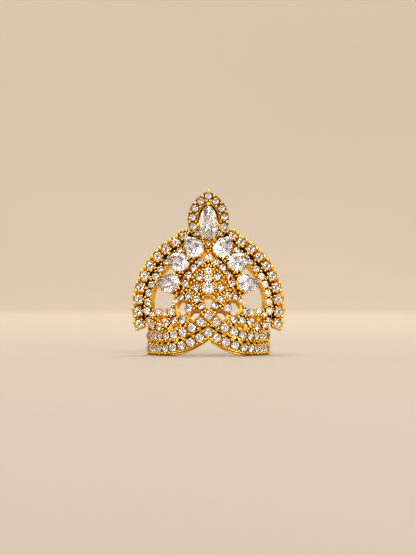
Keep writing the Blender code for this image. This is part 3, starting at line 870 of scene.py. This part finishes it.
def fill_beads(beads):
    """Ball prongs in every gap between the stones of the face, as large as the gap allows."""
    x, z = np.meshgrid(np.arange(0.0, 17.0, GRID_STEP), np.arange(5.0, 32.0, GRID_STEP))
    discs = [(place.translation.xz, size / 2 + 0.03) for place, size in FACE_SEATS + BAND_STONES]
    discs += [((0.0, height), size / 2 + 0.1) for _, height, size, _ in CENTRE_STONES] + [((0.0, 31.0), 1.5)]
    discs += [(mirrored(place).translation.xz, size / 2 + 0.05) for place, size in FACE_SEATS]
    discs += [((px, pz), 0.3) for px, pz, _, _, _ in PITS]
    margins = (0.12, 0.12, 0.35, 0.7, 0.5, 0.5, 0.5)
    outlines = list(zip(WINDOW_PATHS + WREATH_HOLES + [CENTRE_PATH], margins))
    outlines += [(pear_path(px, pz, tip, FAN_PEAR_SIZE), 0.3) for _, px, pz, tip in FAN_PEARS]
    far = clearance(x, z, discs, outlines)
    top = np.interp(z, [p.y for p in ARCH], [p.x for p in ARCH]) - 1.15 - x
    low = z - (ROW_B[0] + ROW_B[1] * np.clip(1 - x / ROW_B[2], 0, 1) ** 2) - 1.55
    far = np.minimum(far, np.minimum(top, low))
    kept = []
    for index in np.argsort(np.abs(far - BEST_ROOM), axis=None, kind="stable"):
        room = float(far.flat[index])
        if room < LEAST_ROOM or room > MOST_ROOM:
            continue
        bx, bz = float(x.flat[index]), float(z.flat[index])
        if bx < 3 * GRID_STEP:
            bx = 0.0
        radius = min(room + ROOM_OVERLAP, LARGEST_BEAD)
        if all(hypot(bx - ox, bz - oz) > BEAD_PACKING * (radius + other) for ox, oz, other in kept):
            kept.append((bx, bz, radius))
    for bx, bz, radius in kept + BROW_BEADS:
        for place in both(face_seat(bx, bz)):
            beads.add(moved(place, z=0.1), radius)


def make_face(gold, rim, recess):
    shells, beads = Shells(), Beads()
    for path, half, high, slot in RIMS:
        for outline in (path, mirror_path(path)):
            shells.add(window_rim(outline, half, high), slot=slot)
    shells.add(window_rim(CENTRE_PATH, 0.24, 0.0, 0.3))
    for place, size in doubled(FACE_SEATS):
        shells.add(collet(size, 0.9 if abs(place.translation.x) < 11 else 1.5), place)
    for (_, place, size), around in zip(CENTRE_SEATS, CENTRE_CLAWS):
        shells.add(collet(size, 1.9), place)
        balls_round(shells, place, size, [(turn, 0.12, 0.42, 0.12) for turn in around], 1.2)
    fill_beads(beads)
    beads.fill(shells)
    for x, z, radius in RAISED_BEADS:
        for place in both(face_seat(x, z)):
            shells.add(bead(radius, RAISED_POST, CLAW_POST), moved(place, z=RAISED_HEIGHT))
    for _, place in FAN_SEATS:
        shells.add(collet(FAN_PEAR_SIZE, 2.3, 0.22), place)
        balls_round(shells, place, FAN_PEAR_SIZE, FAN_CLAWS, 2.2)
    return shells.build("crown_face_settings", [gold, rim, recess])


# ---- the two arches

CUP_PROFILE = [  # height, reach past the stone, how far the corners pull out, share of the whole
    (-1.35, 0.3, 0.2, 0.7), (-0.6, 0.42, 0.42, 1.0), (-0.3, 0.42, 0.42, 1.0), (-0.14, 0.34, 0.36, 1.0),
    (0.02, 0.24, 0.0, 1.0), (0.16, 0.14, 0.0, 1.0), (0.2, 0.0, 0.0, 1.0), (0.18, -0.12, 0.0, 1.0),
    (0.06, -0.14, 0.0, 1.0), (-0.02, 0.0, 0.0, 1.0), (-0.6, 0.0, 0.0, 0.66), (-1.35, 0.0, 0.0, 0.45),
]
# The strip that closes the gap between the arches, a near-black front of painted shade standing for the deep shade
# in the gap, and then the plain back of the casting: its reach past the cups' line as a share of the gap, how far
# back its outer and inner edges lie, its thickness and its slot.
WEB_LAYERS = [(-0.25, 0.9, 1.6, 0.3, 1), (-0.2, 1.4, 1.95, 0.2, 0)]
WEB_STEPS = 60
# Short bars, each through three or four points: from a cup inwards, and from the middle between two cups.
LINK = [(1.15, 0.0, -0.75), (1.4, 0.0, -0.75), (1.7, 0.0, -0.75), (2.0, 0.0, -0.75)]
BRIDGE = [(-0.5, -0.4, -0.3), (-0.5, 0.0, -0.3), (-0.5, 0.4, -0.3)]


def make_inner_arch(gold):
    shells, beads = Shells(), Beads()
    channel = channel_section(1.02, 0.2, -1.9, -0.95, -0.05)
    for path, seats in zip((ARCH, mirror_path(ARCH)), each_side(ARCH_SEATS)):
        shells.add(carved(face_sweep(path, channel), [(azure(ARCH_STONE), place) for place in seats]))
    for place in ARCH_SHOWN:
        for one in both(place):
            shells.add(collet(ARCH_STONE, 0.9), one)
    for seats in each_side(ARCH_SEATS):
        beads.in_gaps(seats, 0.82, 0.42)
    beads.fill(shells)
    return shells.build("inner_arch", [gold])


def square_cup(size):
    """An open cup with drawn-in sides that carries four prongs."""
    rings = []
    for z, grow, pull, share in CUP_PROFILE:
        ring = []
        for turn in turns(32):
            radius = (size / 2 + grow + pull * sin(2 * turn) ** 4) * share
            ring.append((radius * cos(turn), radius * sin(turn), z))
        rings.append(ring)
    return loft(rings, closed=True)


def make_outer_arch(gold, shadow):
    shells = Shells()
    for index, place in enumerate(HALO_SEATS):
        balls = HALO_BALLS + (LAST_CUP_BALLS if index == len(HALO_CUPS) - 1 else [])
        for one in both(place):
            shells.add(square_cup(HALO_STONE), one)
            balls_round(shells, one, HALO_STONE, balls, 1.1, BEAD_POST)
            shells.add(forward_sweep([one @ Vector(p) for p in LINK], rounded_box(0.6, -0.5, 0.5, 0.2)))
    for seats in each_side(HALO_SEATS):
        for a, b in zip(seats, seats[1:]):
            bridge = [a.lerp(b, 0.5) @ Vector(p) for p in BRIDGE]
            shells.add(forward_sweep(bridge, rounded_box(0.5, -0.6, 0.05, 0.2)))
    outer = standing(spaced(smooth_path(HALO_CUPS), WEB_STEPS), HALO_DEPTH)
    inner = [face_point(p.x, p.y) for p in spaced(ARCH, WEB_STEPS)]
    for side in (1, -1):
        flip = Matrix.Diagonal((side, 1, 1))
        for reach, near, far, thick, slot in WEB_LAYERS:
            rings = []
            for a, b in zip(outer, inner):
                a, b = flip @ a.lerp(b, reach) - FORWARD * near, flip @ b - FORWARD * far
                rings.append([a, b, b - FORWARD * thick, a - FORWARD * thick])
            shells.add(loft(rings), slot=slot)
    return shells.build("outer_arch", [gold, shadow])


# ---- the finial

RING_INSET = 1.34  # how far inside the outline the wall round the top pear runs
NOTCH = [(0.0, 0.0), (0.7, 0.75), (0.0, 1.3), (-0.7, 0.75)]  # behind the apex, where the ring's halves meet
# The front plate, slot 1, is near-black painted shade seen round the top pear; the plate behind it is plain gold.
PLATES = [(0.9, 1), (1.1, 0)]  # depth and slot of the plates behind the stones
TOP_CLAWS = [
    (0, 0.12, 0.66, 0.12), (98, 0.12, 0.62, 0.12), (262, 0.12, 0.62, 0.12), (150, 0.12, 0.48, 0.12),
    (210, 0.12, 0.48, 0.12),
]
STRUT = [(2.3, -0.3, 36.0), (3.6, -0.1, 35.1), (4.9, 0.1, 34.2)]
FOOT = [(1.7, 32.0), (1.15, 29.9), (-1.15, 29.9), (-1.7, 32.0)]
# The hollow on each side between the finial, the arches and the upper pear: its outline, then how far back its
# near-black front, painted shade, and the plain metal behind it begin and end, and their slots.
CREVICE = [(2.2, 32.2), (2.9, 33.8), (5.4, 34.4), (5.6, 33.0), (3.6, 31.6)]
CREVICE_LAYERS = [(0.5, 0.7, 1), (0.7, 0.95, 0)]


def inset_path(path, distance):
    """Half an outline that starts on the centre line, moved inwards and cut off at that line."""
    moved_in = [p + Vector((d.y, -d.x)).normalized() * distance for p, d in zip(path, directions(path))]
    return from_centre([p for p in moved_in if p.x > 0.0])


def make_finial(gold, shadow):
    shells, beads = Shells(), Beads(0.3)
    outline = both_sides(FINIAL_HALF)
    section = channel_section(1.16, 0.26, -1.4, -0.55, 0.0, side=-0.12)
    holes = [(azure(FINIAL_STONE), place) for place in FINIAL_SEATS]
    shells.add(carved(forward_sweep(standing(outline, FINIAL_DEPTH), section), holes))
    wall = inset_path(FINIAL_HALF, RING_INSET)
    shells.add(forward_sweep(standing(both_sides(wall), FINIAL_DEPTH), rounded_box(0.3, -2.0, -0.1, 0.2, 2)))
    shells.add(slab([(x, wall[0].y + z) for x, z in NOTCH], FINIAL_DEPTH + 1.0, FINIAL_DEPTH + 1.42))
    for place in FINIAL_SEATS:
        shells.add(collet(FINIAL_STONE, 1.0, 0.16), place)
    row = [forward_seat(p.x, FINIAL_DEPTH, p.y, d) for p, d in zip(FINIAL_POINTS, directions(FINIAL_POINTS))]
    for seats in each_side(row):
        beads.in_gaps(seats, 0.88, 0.46)
    opening = loft([outline_ring(TOP_PEAR_SIZE, 40, z, 0.0, 0.72) for z in (-3.0, -0.5)])
    for depth, slot in PLATES:
        plate = slab(outline, FINIAL_DEPTH + depth, FINIAL_DEPTH + depth - 0.25)
        shells.add(carved(plate, [(opening, TOP_PEAR_SEAT)]), slot=slot)
    shells.add(bead(TIP_BALL), forward_seat(0.0, FINIAL_DEPTH + 0.2, FINIAL_TIP - TIP_BALL))
    for x, z, radius in FINIAL_BEADS:
        for side in (x, -x):
            beads.add(forward_seat(side, FINIAL_DEPTH - 0.1, z), radius)
    x, z, size = FINIAL_LAST_STONE
    for place in both(forward_seat(x, FINIAL_LAST_DEPTH, z)):
        shells.add(collet(size, 0.8, 0.16), place)
        for turn in turns(4, 0.5):
            beads.add(moved(place, *outline_point(size, turn, 0.16), 0.14), 0.3)
    for side in (1, -1):
        strut = [Vector((side * x, FINIAL_DEPTH + y, z)) for x, y, z in STRUT]
        shells.add(forward_sweep(strut, rounded_box(0.24, -0.9, 0.2, 0.15, 2)))
        for near, far, slot in CREVICE_LAYERS:
            shells.add(slab([(side * x, z) for x, z in CREVICE], FINIAL_DEPTH + near, FINIAL_DEPTH + far), slot=slot)
    beads.fill(shells)
    shells.add(collet(TOP_PEAR_SIZE, 2.2, 0.14), TOP_PEAR_SEAT)
    shells.add(slab(FOOT, FINIAL_DEPTH - 1.5, FINIAL_DEPTH + 1.0))
    x, z, size = FOOT_STONE
    shells.add(collet(size, 0.4, 0.16), forward_seat(x, FOOT_STONE_DEPTH, z))
    balls_round(shells, TOP_PEAR_SEAT, TOP_PEAR_SIZE, TOP_CLAWS, 1.8)
    return shells.build("finial", [gold, shadow])


# ---- the stones


def make_stone(name, size, place, crystal):
    shells = Shells()
    shells.add(cut_stone(size), place)
    piece = shells.build(name, [crystal], smooth=0)
    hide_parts(name)
    return piece


def set_stones(large, small):
    rows = [(name, FAN_PEAR_SIZE, place, large) for name, place in FAN_SEATS]
    rows.append(("pear_stone_top", TOP_PEAR_SIZE, TOP_PEAR_SEAT, large))
    rows += [(name, size, place, large) for name, place, size in CENTRE_SEATS]
    for index, place in enumerate(HALO_SEATS, 1):
        rows.append((f"arch_stone_right_{index:02d}", HALO_STONE, place, small))
        rows.append((f"arch_stone_left_{index:02d}", HALO_STONE, mirrored(place), small))
    rows += [(f"finial_stone_{index:02d}", FINIAL_STONE, place, small) for index, place in enumerate(FINIAL_SEATS, 1)]
    return [make_stone(*row) for row in rows]


def set_small_stones(crystal):
    last = [(FINIAL_LAST_STONE, FINIAL_LAST_DEPTH), (FOOT_STONE, FOOT_STONE_DEPTH)]
    groups = {
        "band_stones": BAND_STONES,
        "face_stones": FACE_SEATS,
        "inner_arch_stones": [(place, ARCH_STONE) for place in ARCH_SHOWN],
        "finial_last_stones": [(forward_seat(x, depth, z), size) for (x, z, size), depth in last],
    }
    made = []
    for name, seats in groups.items():
        shells = Shells()
        for place, diameter in doubled(seats):
            shells.add(cut_stone(diameter), place)
        made.append(shells.build(name, [crystal], smooth=0))
    return made


# ---- finishes


class Finish:
    """A material, built up node by node round its Principled shader."""

    def __init__(self, name, metallic=0.0):
        self.made = bpy.data.materials.new(name)
        self.made.use_nodes = True
        self.nodes, self.links = self.made.node_tree.nodes, self.made.node_tree.links
        self.inputs = self.nodes["Principled BSDF"].inputs
        self.inputs["Metallic"].default_value = metallic

    def noise(self, scale, detail):
        """Noise in the piece's own coordinates."""
        place = self.nodes.new("ShaderNodeTexCoord")
        made = self.nodes.new("ShaderNodeTexNoise")
        made.inputs["Scale"].default_value = scale
        made.inputs["Detail"].default_value = detail
        self.links.new(place.outputs["Object"], made.inputs["Vector"])
        return made.outputs["Fac"]

    def ramp(self, source, stops):
        """The colour that a value gives on a ramp of (position, colour)."""
        made = self.nodes.new("ShaderNodeValToRGB")
        elements = made.color_ramp.elements
        for element, (position, colour) in zip(elements, (stops[0], stops[-1])):
            element.position, element.color = position, (*colour, 1)
        for position, colour in stops[1:-1]:
            elements.new(position).color = (*colour, 1)
        self.links.new(source, made.inputs["Fac"])
        return made.outputs["Color"]

    def roughness(self, scale, detail, low, high):
        source = self.noise(scale, detail)
        made = self.nodes.new("ShaderNodeMapRange")
        for socket, value in zip(("From Min", "From Max", "To Min", "To Max"), (0.3, 0.7, low, high)):
            made.inputs[socket].default_value = value
        self.links.new(source, made.inputs["Value"])
        self.links.new(made.outputs["Result"], self.inputs["Roughness"])


def gold_plate():
    """Bright gold, a little cloudy, with painted shade darkening it to brown and near black where the metal closes in
    on itself.
    """
    gold = Finish("gold_plate", metallic=1.0)
    gold.inputs["Specular Tint"].default_value = (1.0, 0.82, 0.4, 1.0)
    tone = gold.ramp(gold.noise(420, 2), [(0.35, (0.86, 0.485, 0.055)), (0.65, (0.96, 0.645, 0.12))])
    # Painted shade: ambient occlusion darkens the base colour in crevices and hollows, standing for the shade that
    # falls there.
    hollow = gold.nodes.new("ShaderNodeAmbientOcclusion")
    hollow.samples = 8
    hollow.inputs["Distance"].default_value = 0.8 * MM
    stops = [(0.18, (0.07, 0.015, 0.001)), (0.42, (0.64, 0.33, 0.08)), (0.78, (1.0, 1.0, 1.0))]
    painted_crevice_shade = gold.ramp(hollow.outputs["AO"], stops)
    mix = gold.nodes.new("ShaderNodeMix")
    mix.data_type, mix.blend_type = "RGBA", "MULTIPLY"
    mix.inputs["Factor"].default_value = 1.0
    gold.links.new(tone, mix.inputs["A"])
    gold.links.new(painted_crevice_shade, mix.inputs["B"])
    gold.links.new(mix.outputs["Result"], gold.inputs["Base Color"])
    gold.roughness(3200, 3, 0.12, 0.26)
    bump = gold.nodes.new("ShaderNodeBump")
    bump.inputs["Strength"].default_value = 0.3
    bump.inputs["Distance"].default_value = 0.03 * MM
    gold.links.new(gold.noise(2100, 2), bump.inputs["Height"])
    gold.links.new(bump.outputs["Normal"], gold.inputs["Normal"])
    return gold.made


def dull_gold(name, dark, light):
    """The same metal, dulled and darkened as painted shade: in the ground between the settings, on shaded rims and,
    near black, in deep gaps.
    """
    gold = Finish(name, metallic=1.0)
    gold.links.new(gold.ramp(gold.noise(900, 3), [(0.3, dark), (0.7, light)]), gold.inputs["Base Color"])
    gold.roughness(3200, 3, 0.35, 0.55)
    return gold.made


def clear_crystal(name, colour, dullest):
    crystal = Finish(name)
    crystal.inputs["Base Color"].default_value = (*colour, 1.0)
    crystal.inputs["Transmission Weight"].default_value = 1.0
    crystal.inputs["IOR"].default_value = 2.16
    crystal.roughness(1500, 2, 0.0, dullest)
    return crystal.made


def floor_paint():
    paint = Finish("floor_paint")
    tone = paint.ramp(paint.noise(1.4, 2), [(0.3, (0.4, 0.325, 0.252)), (0.7, (0.43, 0.355, 0.277))])
    paint.links.new(tone, paint.inputs["Base Color"])
    paint.inputs["Roughness"].default_value = 0.6
    return paint.made


# ---- stage, lights and camera, in metres

CAMERA_DISTANCE = 0.6
VIEW_HEIGHT = 0.1542  # what the camera sees from bottom to top at the crown
CAMERA_SIDE, CAMERA_HEIGHT = -0.00008, 0.02167
SENSOR = 36.0
FLOOR_FLAT, FLOOR_EDGE, FLOOR_RISE, FLOOR_STEPS = 0.9, 1.7, 0.75, 12
NEAR_WHITE, WARM_WHITE = (1.0, 0.98, 0.95), (1.0, 0.96, 0.92)
CROWN_MIDDLE, BACKDROP = (0.0, 0.0, 0.02), (0.0, 1.5, 0.1)
LIGHTS = [  # name, place, size, power, colour, what it shines on
    ("key", (-0.3, -0.35, 0.95), 0.3, 3.8, NEAR_WHITE, CROWN_MIDDLE),
    ("fill", (0.7, -0.6, 0.25), 0.5, 2.5, (0.95, 0.97, 1.0), CROWN_MIDDLE),
    ("fill_left", (-0.75, -0.5, 0.2), 0.5, 1.6, (0.97, 0.98, 1.0), CROWN_MIDDLE),
    ("top", (0.1, 0.05, 0.9), 0.6, 2.8, NEAR_WHITE, CROWN_MIDDLE),
    ("front", (0.25, -1.0, 0.75), 0.4, 7.6, NEAR_WHITE, CROWN_MIDDLE),
    ("back_right", (0.65, 0.6, 0.3), 0.4, 1.6, WARM_WHITE, CROWN_MIDDLE),
    ("back_left", (-0.65, 0.6, 0.3), 0.4, 1.6, WARM_WHITE, CROWN_MIDDLE),
    ("backdrop", (0.0, 0.55, 1.1), 0.8, 20.0, (1.0, 0.97, 0.92), BACKDROP),
]
WORLD_COLOUR, WORLD_STRENGTH = (0.97, 0.97, 1.0, 1.0), 0.28


def make_floor():
    """A pale round floor whose rim sweeps up on every side."""
    profile = [(0.0, 0.0), (FLOOR_FLAT, 0.0)]
    for i in range(1, FLOOR_STEPS + 1):
        turn = pi / 2 * i / FLOOR_STEPS
        out = (FLOOR_EDGE - FLOOR_FLAT) * sin(turn)
        profile.append((FLOOR_FLAT + out, FLOOR_RISE * (1 - cos(turn))))
    points, faces = turned(profile, 96)
    mesh = bpy.data.meshes.new("floor")
    mesh.from_pydata(points, [], [face[::-1] for face in faces[:-1]])  # open above, facing up
    mesh.shade_smooth()
    mesh.materials.append(floor_paint())
    floor = linked("floor", mesh)


def make_lights():
    for name, place, size, power, colour, target in LIGHTS:
        data = bpy.data.lights.new(name, "AREA")
        data.shape = "SQUARE"
        data.size, data.energy, data.color = size, power, colour
        light = linked(name, data)
        light.location = place
        light.rotation_euler = (Vector(target) - Vector(place)).to_track_quat("-Z", "Y").to_euler()
    world = bpy.data.worlds.new("studio")
    world.use_nodes = True
    shade = world.node_tree.nodes["Background"]
    shade.inputs["Color"].default_value = WORLD_COLOUR
    shade.inputs["Strength"].default_value = WORLD_STRENGTH
    bpy.context.scene.world = world


def make_camera():
    data = bpy.data.cameras.new("camera")
    data.sensor_width = SENSOR
    data.lens = SENSOR * CAMERA_DISTANCE / VIEW_HEIGHT
    data.clip_start = 0.01
    camera = linked("camera", data)
    camera.location = (CAMERA_SIDE, -CAMERA_DISTANCE, CAMERA_HEIGHT)
    camera.rotation_euler = (pi / 2, 0.0, 0.0)
    bpy.context.scene.camera = camera


def main():
    gold = gold_plate()
    large = clear_crystal("crystal_large", (0.96, 0.97, 1.0), 0.12)
    small = clear_crystal("crystal_small", (0.79, 0.775, 0.8), 0.04)
    # Darker copies of the gold, painted shade: for the recessed ground, for rims, and a near-black one for the deep
    # gaps.
    recess = dull_gold("gold_recess_painted_shade", (0.72, 0.3, 0.025), (0.96, 0.51, 0.06))
    rim = dull_gold("gold_rim_painted_shade", (0.42, 0.19, 0.03), (0.66, 0.36, 0.06))
    shadow = dull_gold("gold_shadow", (0.015, 0.005, 0.001), (0.05, 0.018, 0.003))
    metal = [
        make_wall(gold, recess, shadow), make_band(gold, shadow), make_face(gold, rim, recess),
        make_inner_arch(gold), make_outer_arch(gold, shadow), make_finial(gold, shadow),
    ]
    for piece in metal:
        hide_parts("crown_frame")
        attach(piece, "root")
    for piece in set_stones(large, small) + set_small_stones(small):
        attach(piece, "root")
    make_floor()
    make_lights()
    make_camera()
    scene = bpy.context.scene
    scene.view_settings.view_transform = "Standard"
    # A clear stone turns light back several times inside; with fewer bounces its facets come out black.
    scene.cycles.max_bounces, scene.cycles.glossy_bounces, scene.cycles.transmission_bounces = 24, 16, 24


main()
